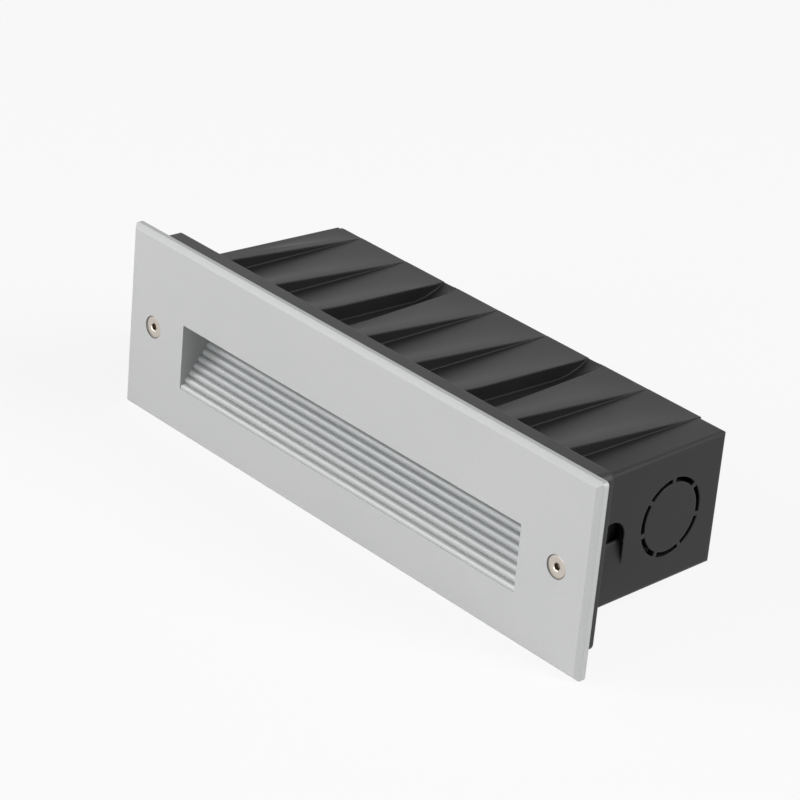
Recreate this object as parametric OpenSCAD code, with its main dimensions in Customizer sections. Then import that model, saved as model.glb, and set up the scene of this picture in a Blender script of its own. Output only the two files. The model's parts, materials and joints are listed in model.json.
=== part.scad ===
// Recessed step light: a ribbed wall box, and a light unit behind a cast faceplate
// whose pocket has a ridged slope that throws the light forward.
// Frame: X to the right along the wall, Y into the wall, Z up. Lengths in millimetres.
// The origin is the middle of the wall plane, on the back of the faceplate.

/* [Faceplate] */
// width of the faceplate
plate_w = 242; // [236:0.5:262]
// height of the faceplate
plate_h = 72; // [69:0.5:84]
// thickness of the faceplate
plate_t = 3.6; // [3.2:0.1:6]
// corner radius of the faceplate
plate_corner_r = 1.5; // [0.5:0.1:4]
// width and depth of the bevel round the front face
plate_bevel = 1.85; // [0.5:0.05:2.5]
// width of the light slot
slot_w = 177.4; // [170:0.2:179]
// height of the light slot
slot_h = 25; // [22:0.5:26]
// distance of the middle of the slot below the middle of the plate
slot_drop = 5; // [4:0.5:6]
// width of the raised pad on the back
pad_w = 198; // [197:0.5:200]
// height of the raised pad on the back
pad_h = 57; // [56:0.5:58]
// thickness of the raised pad
pad_t = 2; // [1.5:0.1:2.5]
// corner radius of the pad and of the flange that meets it
pad_corner_r = 3; // [1:0.5:4]

/* [Light pocket] */
// slope of the ridged face above the horizontal
slope_angle = 51.8; // [48:0.2:56]
// distance of the foot of the slope behind the front face
slope_lead = 0.5; // [0.2:0.1:1]
// distance of the foot of the slope below the lower edge of the slot
slope_drop = 0.48; // [0:0.02:1]
// distance from ridge to ridge along the slope
ridge_pitch = 2.965; // [2.6:0.005:3.1]
// radius of each rounded ridge
ridge_r = 1.6; // [1.56:0.02:2.2]
// thickness of the sloping wall behind the ridges
slope_wall = 2; // [1.5:0.1:3]
// thickness of the end cheeks of the pocket
cheek_t = 2; // [1.5:0.1:2.5]
// thickness of the ceiling of the pocket
ceiling_t = 2; // [1.5:0.1:2.5]
// width of the ceiling with its two ears
ceiling_w = 190.4; // [188:0.2:191]
// width of the window in the ceiling
lamp_window_w = 168; // [150:1:169]
// depth of the window in the ceiling, front to back
lamp_window_d = 11; // [9:0.5:11.5]

/* [Faceplate screws] */
// distance of each faceplate screw from the middle
plate_screw_x = 106; // [105.5:0.1:107]
// radius of the screw shank
plate_screw_r = 1.94; // [1.85:0.01:1.96]
// length of the screw with its head
plate_screw_l = 15.6; // [15:0.1:15.8]
// radius of the countersunk head
plate_head_r = 4.1; // [3.8:0.05:4.2]
// how far the head lies below the face of the plate
plate_head_gap = 0.3; // [0.1:0.05:0.4]
// gap between the head and the wall of its recess
plate_head_clear = 0.15; // [0.05:0.05:0.3]
// size across the flats of the hexagon socket
socket_af = 2.5; // [2:0.1:3]
// depth of the hexagon socket
socket_d = 1.7; // [1:0.1:2]
// radius of the clearance hole in the plate
plate_hole_r = 2.3; // [2.2:0.05:2.6]
// outer radius of the captive washer
captive_r = 3.6; // [3.2:0.1:3.9]
// bore radius of the captive washer
captive_bore_r = 2; // [1.97:0.01:2.03]
// thickness of the captive washer
captive_t = 0.8; // [0.6:0.1:1]
// distance of the captive washer from the back of the plate
captive_y = 6.2; // [6.1:0.1:6.4]

/* [Wall gasket] */
// thickness of the foam gasket on the back of the plate
wall_gasket_t = 0.8; // [0.5:0.1:1]
// gap between the foam gasket and the collar at rest
wall_gap = 0.2; // [0.1:0.05:0.3]
// how far the gasket stays inside the outline of the collar
gasket_inset = 0.5; // [0.3:0.1:1]
// gap between the gasket and the pad inside it
pad_gap = 0.5; // [0.3:0.1:0.8]
// radius of the screw holes in the gasket
gasket_hole_r = 4.3; // [4.1:0.1:5]

/* [Wall box] */
// width of the collar behind the plate
collar_w = 226; // [225:0.5:230]
// height of the collar behind the plate
collar_h = 65; // [64:0.5:68]
// corner radius of the collar
collar_corner_r = 3; // [2:0.5:4]
// distance of the back of the collar from the wall plane
collar_d = 10.7; // [10.4:0.1:12]
// wall thickness of the box
box_wall = 2.5; // [2.2:0.1:2.6]
// thickness of the collar floor
tray_floor_t = 2.2; // [1.8:0.1:2.4]
// width of the box at its back
box_rear_w = 201; // [200:0.5:202]
// height of the box
box_h = 50; // [49:0.5:51]
// free depth for the cable between the gland and the back wall
cable_room = 6.3; // [4.5:0.1:12.5]
// draft of the end walls
box_draft = 2.9; // [2:0.1:3]
// radius of the long edges
box_edge_r = 2; // [1:0.25:2.2]
// radius of the edges round the back
box_rear_r = 2.5; // [1:0.25:3]
// radius of the edges inside the box
box_inner_r = 1; // [0.5:0.1:1.5]
// radius of the bosses for the threaded inserts
insert_boss_r = 4.6; // [4.2:0.1:4.8]
// distance of the front of the bosses from the wall plane
insert_boss_y = 7.4; // [7.3:0.1:7.8]
// outer radius of the threaded inserts
insert_r = 2.8; // [2.6:0.1:3]
// bore radius of the threaded inserts
insert_bore_r = 2; // [1.97:0.01:2.03]
// length of the threaded inserts
insert_l = 5; // [5:0.1:5.6]
// distance of the front of an insert behind the front of its boss
insert_set = 0.2; // [0.1:0.05:0.4]
// material behind each insert
insert_end_t = 0.8; // [0.6:0.1:1.4]
// radius of the two fixing holes in the back wall
back_hole_r = 2.25; // [2:0.05:2.6]
// distance between the two fixing holes
back_hole_span = 150; // [120:5:170]

/* [Ribs on the box] */
// distance between the ribs
rib_pitch = 25; // [24:0.1:25.2]
// position of the edge of the first rib
rib_first_x = -86.6; // [-87:0.1:-85]
// foot of the first ramp
rib_start_x = -98; // [-98.4:0.1:-96]
// height of the ribs at the collar
rib_rise = 5.2; // [3:0.1:6]
// distance before the back of the box where the ribs run out
rib_end = 1.4; // [1:0.1:3]
// width of the flat land beside each edge at the collar
land_front = 5.6; // [3:0.1:7]
// width of the flat land where the ribs run out
land_rear = 2; // [1:0.1:3]
// how far the ribs are sunk into the wall of the box
rib_sunk = 1; // [0.6:0.1:1.4]
// how far the foot of the first ramp dips into the box
rib_foot_dip = 0.1; // [0.05:0.05:0.3]
// depth of the scoops at the collar
scoop_front_depth = 0.75; // [0.4:0.05:1.2]
// greatest depth of the scoops
scoop_depth = 4.2; // [3:0.1:4.4]
// distance before the back of the box where a scoop starts to run out
scoop_run_out = 15.4; // [12:0.2:20]
// how far the upright side of a scoop leans to the left along its length
scoop_lean = 4.1; // [3:0.1:4.3]
// distance behind the collar where that lean begins
scoop_lean_start = 12.7; // [8:0.1:16]
// width of the flat floor of a scoop
scoop_floor_w = 3; // [2:0.1:4]
// width of a scoop at the surface
scoop_w = 8.3; // [7:0.1:9]
// material left under a scoop
scoop_wall = 1.6; // [1.4:0.1:1.8]
// how far that material reaches past the scoop on each side
scoop_margin = 2; // [1.5:0.1:2.5]

/* [Knock-outs and keying windows] */
// distance of the middle of the knock-out from the wall plane
knock_y = 53; // [50:0.5:55]
// mean radius of the ring of slots
knock_r = 13.57; // [12:0.01:14.5]
// width of the slots
knock_slot = 1.8; // [1:0.1:2]
// width of the bridges that hold the knock-out
bridge_w = 1.6; // [1:0.1:2]
// distance of the middle of the keying window from the wall plane
key_y = 23.5; // [22.5:0.1:24.5]
// radius of the arch of the keying window
key_r = 6.7; // [6:0.1:7]
// distance of the sill of the open part below the middle of the arch
key_sill = 2; // [1:0.1:3]
// distance of the foot of the ramp below the middle of the arch
key_drop = 10.5; // [9:0.1:11.5]

/* [Light housing] */
// thickness of the gasket between pad and housing
housing_gasket_t = 0.8; // [0.5:0.1:1]
// thickness of the flange of the housing
flange_t = 2.5; // [2:0.1:2.8]
// width of the tub of the housing
housing_w = 195; // [194:0.5:196]
// height of the tub of the housing
housing_h = 37.6; // [37:0.1:37.8]
// distance of the back of the housing from the wall plane
housing_d = 52; // [50:0.5:53]
// wall thickness of the housing
housing_wall = 1.8; // [1.5:0.1:1.9]
// corner radius of the tub
housing_corner_r = 3; // [2:0.5:4]
// step between the cavity of the housing and the inner edge of its gasket
gasket_step = 0.8; // [0.4:0.1:0.9]
// distance of the outer housing screws from the middle
housing_screw_x = 90; // [85:1:92]

/* [Small screws] */
// shank radius of the small screws
screw_r = 1.45; // [1.4:0.01:1.48]
// radius of their tapped holes
tapped_r = 1.5; // [1.49:0.01:1.52]
// radius of their clearance holes
clear_r = 1.7; // [1.6:0.05:1.9]
// head radius of the small screws
head_r = 2.6; // [2.3:0.05:2.7]
// head height of the small screws
head_h = 1.6; // [1.2:0.1:1.7]
// length of the small screws under the head
screw_l = 6; // [5.5:0.1:6.2]
// free depth left below the tip of each screw
tip_gap = 0.4; // [0.2:0.1:0.6]
// width of the cross in the heads
cross_w = 0.7; // [0.5:0.1:1]
// material left past the end of a tapped hole
boss_end = 0.8; // [0.5:0.1:1.2]
// radius of the bosses that take the small screws
boss_r = 2.9; // [2.6:0.1:3.1]

/* [Lens and light strip] */
// thickness of the lens gasket
lens_gasket_t = 0.5; // [0.4:0.05:0.6]
// thickness of the lens
lens_t = 2; // [1.5:0.1:2.2]
// width of the lens
lens_w = 172.8; // [171:0.2:173]
// depth of the lens, front to back
lens_d = 14.6; // [14:0.1:15]
// gap round the lens
lens_gap = 0.3; // [0.2:0.05:0.4]
// gap between the lens and the light chips
chip_gap = 0.5; // [0.3:0.1:0.8]
// height of a light chip
chip_t = 0.7; // [0.5:0.05:0.9]
// side of a light chip
chip_size = 2.8; // [2:0.1:3.5]
// distance between the light chips
chip_pitch = 14; // [13:0.1:14]
// thickness of the circuit board
board_t = 1.2; // [1:0.1:1.4]
// width of the circuit board
board_w = 166; // [162:1:168]
// gap between the circuit board and the rails beside it
board_gap = 0.3; // [0.2:0.05:0.5]
// thickness of the web and of the feet of the carrier
carrier_t = 1.6; // [1.4:0.1:1.8]
// thickness of the rails and of the ends of the carrier
rail_t = 1.7; // [1.5:0.1:1.8]
// distance of the carrier screws from the middle
carrier_screw_x = 92; // [91.8:0.1:92.2]
// shank radius of the board screws
board_screw_r = 1; // [0.9:0.01:1]
// radius of the tapped holes for the board screws
board_tapped_r = 1.04; // [1.03:0.01:1.08]
// head radius of the board screws
board_head_r = 1.9; // [1.7:0.1:2.2]
// head height of the board screws
board_head_h = 1; // [0.7:0.1:1.1]
// width of the notch for the light strip leads
notch_w = 4; // [3.4:0.1:5]

/* [Driver] */
// length of the driver case
driver_l = 80; // [70:1:84]
// height of the driver case
driver_h = 26; // [22:0.5:30]
// depth of the driver case
driver_d = 20; // [16:0.5:22]
// gap between the gland and the near ear of the driver
driver_gap = 3.4; // [2.5:0.1:5]
// edge radius of the driver case
driver_r = 2; // [1:0.25:3]
// length of each fixing ear
ear_l = 7; // [6:0.25:7]
// width of each fixing ear
ear_w = 12; // [8:0.5:14]
// thickness of each fixing ear
ear_t = 2; // [1.6:0.1:2.4]
// height of the bosses under the ears
standoff = 4; // [3.6:0.1:5]

/* [Terminal block] */
// position of the middle of the terminal block
block_x = -69; // [-71:0.5:-67]
// distance between its poles
pole_pitch = 10; // [9.6:0.1:10]
// height of the block
block_h = 16; // [14:0.5:18]
// depth of the block
block_d = 14; // [12:0.5:15]
// edge radius of the block
block_r = 1; // [0.5:0.1:2]
// thickness of the raised pad that carries the block
block_pad_t = 4; // [3.6:0.1:5]
// outer radius of the brass barrels
barrel_r = 2.6; // [2.3:0.1:2.8]
// bore radius of the brass barrels
barrel_bore_r = 1.6; // [1.4:0.05:1.7]
// how far the barrels stay inside the block
barrel_inset = 1; // [0.5:0.1:1.5]
// distance of the barrels in front of the back of the block
barrel_back = 4.6; // [4:0.1:5]
// shank radius of the clamp screws
clamp_r = 1.2; // [1.1:0.01:1.25]
// radius of their tapped holes
clamp_tapped_r = 1.25; // [1.24:0.01:1.3]
// head radius of the clamp screws
clamp_head_r = 1.7; // [1.5:0.05:1.8]
// head height of the clamp screws
clamp_head_h = 1.4; // [1:0.1:1.8]
// radius of the wells that the clamp screws stand in
well_r = 1.9; // [1.85:0.05:2.1]
// distance of the clamp screws from the middle of the block
clamp_z = 4; // [3.6:0.1:4.6]
// depth of the pockets for the heads of the fixing screws
block_sink = 9; // [8.6:0.1:9.5]

/* [Cable gland] */
// position of the gland
gland_x = -34; // [-35:0.5:-33]
// radius of the threaded barrel
gland_r = 7.9; // [7.5:0.05:7.95]
// radius of the hole in the housing, and of the bore of the nuts
gland_hole_r = 8; // [7.98:0.01:8.05]
// size of the gland and its nuts across the flats
gland_af = 20; // [19:0.5:20]
// thickness of the lock nut
locknut_t = 3; // [2.5:0.1:3.5]
// thread past the lock nut
gland_past = 1; // [0.5:0.1:1.5]
// thickness of the hexagon of the body
gland_hex_t = 4; // [3:0.1:4.5]
// length of the barrel behind the hexagon
gland_barrel_l = 7; // [6:0.1:7.5]
// bore radius of the body
gland_bore_r = 5; // [4.5:0.1:5.5]
// radius of the seat for the seal
seal_r = 6.8; // [6.4:0.1:7]
// bore radius of the seal
seal_bore_r = 4.25; // [3.5:0.05:4.6]
// depth of the seat for the seal
seal_seat = 5; // [4:0.1:5.5]
// length of the seal
seal_l = 7; // [6.6:0.1:7.4]
// length of the cap nut
cap_l = 10; // [9:0.1:11]
// thickness of the end of the cap nut
cap_end_t = 4; // [3:0.1:4.6]
// radius of the hole in the cap nut
cap_hole_r = 4.75; // [4.6:0.05:5.2]

/* [Leads] */
// radius of the supply leads inside the housing
lead_r = 1.1; // [0.9:0.05:1.2]
// radius of the light strip leads
strip_lead_r = 0.55; // [0.45:0.01:0.58]
// distance of the input leads in front of the back of the housing
input_lead_y = 17; // [16:0.5:19]
// how far the elbows of the leads swell past their radius
elbow_swell = 0.04; // [0.02:0.01:0.06]
// spacing between neighbouring leads
lead_step = 3.4; // [3:0.1:4]
// position of the earth screw
earth_x = -60; // [-62:0.5:-58]
// height of the earth screw below the middle
earth_drop = 9; // [8:0.5:10]
// distance of the end of the earth boss from the wall plane
earth_y = 16; // [15:0.5:18]
// thickness of the earth lug
lug_t = 0.8; // [0.6:0.1:1]
// length of the barrel of the earth lug
lug_l = 5; // [4:0.1:5.6]

/* [Output] */
// piece to draw

/* [Hidden] */
$fn = 48;
overrun = 1;
ridge_count = 11;
ramp_steps = 6;
ramp_curve = 1.6;
rib_rows = 4;
scoop_rows = 12;
rib_count = 8;
scoop_ribs = [2, 5];
chip_count = 12;
bridge_count = 7;
bridge_start = 11.5;
cross_share = 0.5;

plate_front = -plate_t;
slot_top = slot_h / 2 - slot_drop;
slot_bottom = -slot_h / 2 - slot_drop;
slope_run = cos(slope_angle);
slope_lift = sin(slope_angle);
foot_y = plate_front + slope_lead;
foot_z = slot_bottom - slope_drop;
ceiling_top = slot_top + ceiling_t;
slope_back_y = foot_y + slope_wall * slope_lift;
slope_back_z = foot_z - slope_wall * slope_run;
ceiling_back = slope_back_y + (ceiling_top - slope_back_z) * slope_run / slope_lift;
ridge_sink = sqrt(ridge_r * ridge_r - ridge_pitch * ridge_pitch / 4);

lens_y = pad_t + lens_gap;
lens_mid_y = lens_y + lens_d / 2;
lens_z = ceiling_top + lens_gasket_t;
lens_top = lens_z + lens_t;
chip_z = lens_top + chip_gap;
board_z = chip_z + chip_t;
web_z = board_z + board_t;
carrier_half = lens_w / 2 + lens_gap + rail_t;
board_d = lens_d - 2 * rail_t - 2 * board_gap;
board_screw_xs = [-5 * chip_pitch, -2 * chip_pitch, 2 * chip_pitch, 5 * chip_pitch];
notch_x = 5 * chip_pitch + chip_pitch / 4;

collar_front = wall_gasket_t + wall_gap;
tray_y = collar_d - tray_floor_t;
insert_y = insert_boss_y + insert_set;
insert_boss_end = insert_y + insert_l + insert_end_t;
scoop_under = box_h / 2 - scoop_depth - scoop_wall;

flange_y = pad_t + housing_gasket_t;
flange_back = flange_y + flange_t;
housing_floor = housing_d - housing_wall;
cavity_w = housing_w - 2 * housing_wall;
cavity_h = housing_h - 2 * housing_wall;
housing_screw_z = (housing_h + pad_h) / 4;
housing_screw_spots = [for (x = [-housing_screw_x, 0, housing_screw_x], z = [-housing_screw_z, housing_screw_z]) [x, z]];

driver_start = gland_x + gland_af / sqrt(3) + driver_gap + ear_l;
driver_end = driver_start + driver_l;
driver_back = housing_floor - standoff;
driver_front = driver_back - driver_d;
driver_screw_spots = [driver_start - ear_l / 2, driver_end + ear_l / 2];
block_back = housing_floor - block_pad_t;
block_front = block_back - block_d;
block_w = 3 * pole_pitch;
barrel_y = block_back - barrel_back;
pole_spots = [block_x - pole_pitch, block_x, block_x + pole_pitch];
block_screw_spots = [block_x - pole_pitch / 2, block_x + pole_pitch / 2];

gland_hex_y = housing_d;
gland_hex_back = gland_hex_y + gland_hex_t;
gland_barrel_back = gland_hex_back + gland_barrel_l;
seal_y = gland_barrel_back - seal_seat;
cap_back = seal_y + seal_l + cap_end_t;
cap_front = cap_back - cap_l;

box_d = cap_back + cable_room + box_wall;
box_front_half = box_rear_w / 2 + (box_d - collar_d) * tan(box_draft);
rib_stop = box_d - rib_end;

plate_head_y = plate_front + plate_head_gap;
carrier_hole_z = ceiling_top + carrier_t - screw_l - tip_gap;
earth_hole_y = earth_y + lug_t - screw_l - tip_gap;
driver_hole_y = driver_back - ear_t + screw_l + tip_gap;
block_screw_l = block_d - block_sink + screw_l / 2;
block_hole_y = block_back + screw_l / 2 + tip_gap;

// A solid block between two opposite corners.
module block(lo, hi) {
  translate(lo) cube(hi - lo);
}

// Flat shapes drawn in X and Z, given thickness from y0 to y1.
module along_y(y0, y1) {
  translate([0, y1, 0]) rotate([90, 0, 0]) linear_extrude(y1 - y0) children();
}

// Flat shapes drawn in Y and Z, given thickness from x0 to x1.
module along_x(x0, x1) {
  translate([x0, 0, 0]) rotate([90, 0, 90]) linear_extrude(x1 - x0) children();
}

// A round bar or hole along Y.
module rod_y(x, z, y0, y1, r) {
  translate([x, y0, z]) rotate([-90, 0, 0]) cylinder(h = y1 - y0, r = r);
}

// A round bar or hole along Z.
module rod_z(x, y, z0, z1, r) {
  translate([x, y, z0]) cylinder(h = z1 - z0, r = r);
}

// A rectangle with round corners, centred on the origin.
module round_rect(w, h, r) {
  square([w - 2 * r, h], center = true);
  square([w, h - 2 * r], center = true);
  for (x = [r - w / 2, w / 2 - r], y = [r - h / 2, h / 2 - r]) translate([x, y]) circle(r = r);
}

// A hexagon with the given size across its flats.
module hexagon(af) {
  polygon([for (i = [0:5]) af / sqrt(3) * [cos(60 * i), sin(60 * i)]]);
}

// A pan-head screw with a cross recess; its head stands on the local XY plane, its shank points down.
module pan_screw(head_radius, head_height, shank_radius, length) {
  difference() {
    union() {
      cylinder(h = head_height, r = head_radius);
      translate([0, 0, -length]) cylinder(h = length, r = shank_radius);
    }
    for (turn = [0, 90]) rotate([0, 0, turn])
      translate([-head_radius * cross_share, -cross_w / 2, head_height * cross_share])
        cube([2 * head_radius * cross_share, cross_w, head_height]);
  }
}

// A screw whose head faces the back.
module rear_screw(x, y, z, length) {
  translate([x, y, z]) rotate([-90, 0, 0]) pan_screw(head_r, head_h, screw_r, length);
}

// A screw whose head faces the front.
module front_screw(x, y, z, length) {
  translate([x, y, z]) rotate([90, 0, 0]) pan_screw(head_r, head_h, screw_r, length);
}

// A round lead that follows a list of points, with round elbows.
module lead(points, r) {
  last = len(points) - 1;
  for (i = [1:last]) {
    step = points[i] - points[i - 1];
    reach = norm(step);
    turn = atan2(step.y, step.x);
    tilt = acos(step.z / reach);
    translate(points[i - 1]) rotate([0, tilt, turn]) cylinder(h = reach, r = r);
  }
  for (i = [1:last - 1]) translate(points[i]) sphere(r = r + elbow_swell);
}

// Wall box: outline from above, with the drafted ends and round back corners.
module box_outline(inset, rear_radius) {
  front_y = -overrun;
  back_y = box_d - inset;
  tilt = tan(box_draft);
  front_x = box_rear_w / 2 + (box_d - front_y) * tilt - inset / cos(box_draft);
  back_x = box_rear_w / 2 + (box_d - back_y) * tilt - inset / cos(box_draft);
  centre = [back_x - rear_radius * (1 - sin(box_draft)) / cos(box_draft), back_y - rear_radius];
  side_point = centre + rear_radius * [cos(box_draft), sin(box_draft)];
  difference() {
    polygon([[-front_x, front_y], [front_x, front_y], [back_x, back_y], [-back_x, back_y]]);
    for (side = [0, 1]) mirror([side, 0]) difference() {
      polygon([centre, side_point, side_point + [overrun, 0], [back_x + overrun, back_y + overrun],
        centre + [0, rear_radius + overrun]]);
      translate(centre) circle(r = rear_radius);
    }
  }
}

// Places its children so that x = 0 is the outer face of the right end wall, with x pointing out.
module end_frame() {
  translate([box_front_half, collar_d, 0]) rotate([0, 0, box_draft]) children();
}

// Wall box: the drafted body behind the collar, shrunk by the inset.
module box_body(inset, front_y, edge_radius, rear_radius) {
  back_y = box_d - inset;
  height = box_h - 2 * inset;
  reach = box_d + collar_d;
  intersection() {
    translate([0, 0, -height / 2]) linear_extrude(height) box_outline(inset, rear_radius);
    end_rounds(inset, height, edge_radius, reach);
    along_x(-collar_w / 2, collar_w / 2) translate([back_y - reach / 2, 0]) round_rect(reach, height, rear_radius);
    block([-collar_w / 2, front_y, -height / 2], [collar_w / 2, back_y, height / 2]);
  }
}

// Wall box: the round long edges of both drafted ends.
module end_rounds(inset, height, edge_radius, reach) {
  intersection_for(side = [0, 1]) mirror([side, 0, 0]) end_frame()
    along_y(-reach, reach) translate([-inset - collar_w / 2, 0]) round_rect(collar_w, height, edge_radius);
}

// Height of the ribs above the box at a distance y from the wall plane.
function rib_height(y) = rib_rise * (rib_stop - y) / (rib_stop - collar_d);

// Width of the flat land beside the edge of a rib.
function rib_land(y) = land_rear + (land_front - land_rear) * (rib_stop - y) / (rib_stop - collar_d);

// One cross-section of a rib: the foot, the ramp, the land, the upright edge and the sunk base.
function rib_ring(foot_x, edge_x, foot_dip, y) = concat(
  [[foot_x, y, box_h / 2 - foot_dip]],
  [for (i = [1:ramp_steps]) let (t = i / ramp_steps)
    [foot_x + t * (edge_x - rib_land(y) - foot_x), y, box_h / 2 + rib_height(y) * pow(t, ramp_curve)]],
  [[edge_x, y, box_h / 2 + rib_height(y)], [edge_x, y, box_h / 2 - rib_sunk],
   [foot_x - rib_sunk, y, box_h / 2 - rib_sunk]]);

// A closed solid through a list of rings that all have the same number of points.
module loft(rings) {
  n = len(rings[0]);
  rows = len(rings);
  points = [for (ring = rings, p = ring) p];
  sides = [for (j = [0:rows - 2], i = [0:n - 1], half = [0, 1])
    let (a = j * n + i, b = j * n + (i + 1) % n, c = a + n, d = b + n)
    half == 0 ? [a, d, b] : [a, c, d]];
  first = [for (i = [0:n - 1]) i];
  last = [for (i = [n - 1:-1:0]) (rows - 1) * n + i];
  polyhedron(points, concat(sides, [first], [last]), convexity = 6);
}

// One rib of the top of the box, from the collar to the back.
module rib(foot_x, edge_x, foot_dip) {
  start = collar_d - tray_floor_t / 2;
  stop = rib_stop + rib_end / 2;
  loft([for (j = [0:rib_rows]) rib_ring(foot_x, edge_x, foot_dip, start + (stop - start) * j / rib_rows)]);
}

// Position of the upright edge of rib k.
function rib_x(k) = rib_first_x + k * rib_pitch;

// Distance of the floor of a scoop below the top of the box.
function scoop_sink(y) = let (out_y = box_d - scoop_run_out)
  y < out_y
  ? scoop_front_depth + (scoop_depth - scoop_front_depth) * (y - collar_d) / (out_y - collar_d)
  : scoop_depth * (1 - pow((y - out_y) / scoop_run_out, 2));

// Position of the upright side of the scoop beside rib k.
function scoop_side(k, y) = let (lean_y = collar_d + scoop_lean_start)
  rib_x(k) - scoop_lean * max(0, y - lean_y) / (box_d - lean_y);

// One cross-section of the space that a scoop takes out of the box.
function scoop_ring(k, y) = let (x = scoop_side(k, y), sink = scoop_sink(y), top = box_h / 2, soft = scoop_w - scoop_floor_w)
  [[x, y, top - sink], [x, y, top + rib_rise + overrun], [x + scoop_w + rib_rise, y, top + rib_rise + overrun],
   [x + scoop_w, y, top], [x + scoop_floor_w + soft * 3 / 4, y, top - sink * 7 / 16],
   [x + scoop_floor_w + soft / 2, y, top - sink * 3 / 4], [x + scoop_floor_w + soft / 4, y, top - sink * 15 / 16],
   [x + scoop_floor_w, y, top - sink]];

// The space of the scoop beside rib k.
module scoop(k) {
  start = collar_d;
  stop = box_d + overrun;
  loft([for (j = [0:scoop_rows]) scoop_ring(k, start + (stop - start) * j / scoop_rows)]);
}

// Ribs with their scoops taken out, as they lie on the top of the box.
module ribbed_side() {
  rib(rib_start_x, rib_x(0), rib_foot_dip);
  for (k = [1:rib_count - 1]) rib(rib_x(k - 1), rib_x(k), 0);
}

// Material that keeps the wall closed under the scoop beside rib k.
module scoop_floor(k) {
  block([scoop_side(k, box_d) - scoop_margin, tray_y, scoop_under],
    [rib_x(k) + scoop_w, box_d - box_wall / 2, box_h / 2 - box_wall / 2]);
}

// The slots of one knock-out ring through the right end wall.
module knock_out() {
  end_frame() translate([0, knock_y - collar_d, 0]) rotate([0, 90, 0]) translate([0, 0, -2 * box_wall]) difference() {
    cylinder(h = 4 * box_wall, r = knock_r + knock_slot / 2);
    translate([0, 0, -overrun]) cylinder(h = 4 * box_wall + 2 * overrun, r = knock_r - knock_slot / 2);
    for (k = [0:bridge_count - 1]) rotate([0, 0, 90 - bridge_start - k * 360 / bridge_count])
      translate([0, -bridge_w / 2, -overrun]) cube([knock_r + knock_slot, bridge_w, 4 * box_wall + 2 * overrun]);
  }
}

// The arched keying window of the right end wall: an opening above, a ramp below.
module key_window() {
  end_frame() translate([0, key_y - collar_d, 0]) {
    intersection() {
      rotate([0, 90, 0]) translate([0, 0, -2 * box_wall]) cylinder(h = 4 * box_wall, r = key_r);
      block([-2 * box_wall, -key_r, -key_sill], [2 * box_wall, key_r, key_r]);
    }
    along_y(-key_r, key_r) polygon([[-box_wall, -key_sill], [0, -key_drop], [overrun, -key_drop], [overrun, -key_sill]]);
  }
}

// Ribbed wall box with its collar.
module installation_box() {
  color([0.06, 0.06, 0.065]) difference() {
    union() {
      along_y(collar_front, collar_d) round_rect(collar_w, collar_h, collar_corner_r);
      box_body(0, tray_y, box_edge_r, box_rear_r);
      for (turn = [0, 180]) rotate([0, turn, 0]) ribbed_side();
      for (side = [-1, 1]) rod_y(side * plate_screw_x, 0, tray_y, insert_boss_end, insert_boss_r);
    }
    along_y(collar_front - overrun, tray_y) round_rect(collar_w - 2 * box_wall, collar_h - 2 * box_wall, box_inner_r);
    difference() {
      box_body(box_wall, tray_y - overrun, box_inner_r, box_inner_r);
      for (turn = [0, 180], k = scoop_ribs) rotate([0, turn, 0]) scoop_floor(k);
    }
    for (turn = [0, 180], k = scoop_ribs) rotate([0, turn, 0]) scoop(k);
    for (side = [0, 1]) mirror([side, 0, 0]) {
      knock_out();
      key_window();
      rod_y(back_hole_span / 2, 0, box_d - 2 * box_wall, box_d + overrun, back_hole_r);
      rod_y(plate_screw_x, 0, tray_y - overrun, insert_y + insert_l, insert_r);
    }
  }
  color([0.06, 0.06, 0.065]) for (side = [-1, 1]) difference() {
    rod_y(side * plate_screw_x, 0, insert_boss_y, tray_y, insert_boss_r);
    rod_y(side * plate_screw_x, 0, insert_boss_y - overrun, tray_y + overrun, insert_r);
  }
}

// Brass inserts that take the faceplate screws.
module threaded_inserts() {
  color([0.72, 0.58, 0.3]) for (side = [-1, 1]) difference() {
    rod_y(side * plate_screw_x, 0, insert_y, insert_y + insert_l, insert_r);
    rod_y(side * plate_screw_x, 0, insert_y - overrun, insert_y + insert_l + overrun, insert_bore_r);
  }
}

// The plain plate with a bevel round its front face.
module bevelled_plate() {
  reach = plate_bevel * sqrt(2);
  difference() {
    along_y(plate_front, 0) round_rect(plate_w, plate_h, plate_corner_r);
    for (side = [-1, 1]) {
      translate([0, plate_front, side * plate_h / 2]) rotate([45, 0, 0])
        cube([plate_w + 2 * overrun, reach, reach], center = true);
      translate([side * plate_w / 2, plate_front, 0]) rotate([0, 0, 45])
        cube([reach, reach, plate_h + 2 * overrun], center = true);
    }
  }
}

// Outline of the open space of the light pocket, in Y and Z.
module pocket_space() {
  lip_y = foot_y + slope_drop * slope_run / slope_lift;
  top_y = foot_y + (slot_top - foot_z) * slope_run / slope_lift;
  difference() {
    polygon([[plate_front - overrun, slot_bottom], [lip_y, slot_bottom], [top_y, slot_top], [plate_front - overrun, slot_top]]);
    for (k = [0:ridge_count - 1]) {
      s = (k + 0.5) * ridge_pitch;
      translate([foot_y + s * slope_run + ridge_sink * slope_lift, foot_z + s * slope_lift - ridge_sink * slope_run])
        circle(r = ridge_r);
    }
  }
}

// Outline of the walls of the light pocket, in Y and Z.
module pocket_walls() {
  polygon([[slope_back_y, slope_back_z], [ceiling_back, ceiling_top], [plate_front / 2, ceiling_top], [plate_front / 2, slope_back_z]]);
}

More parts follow.
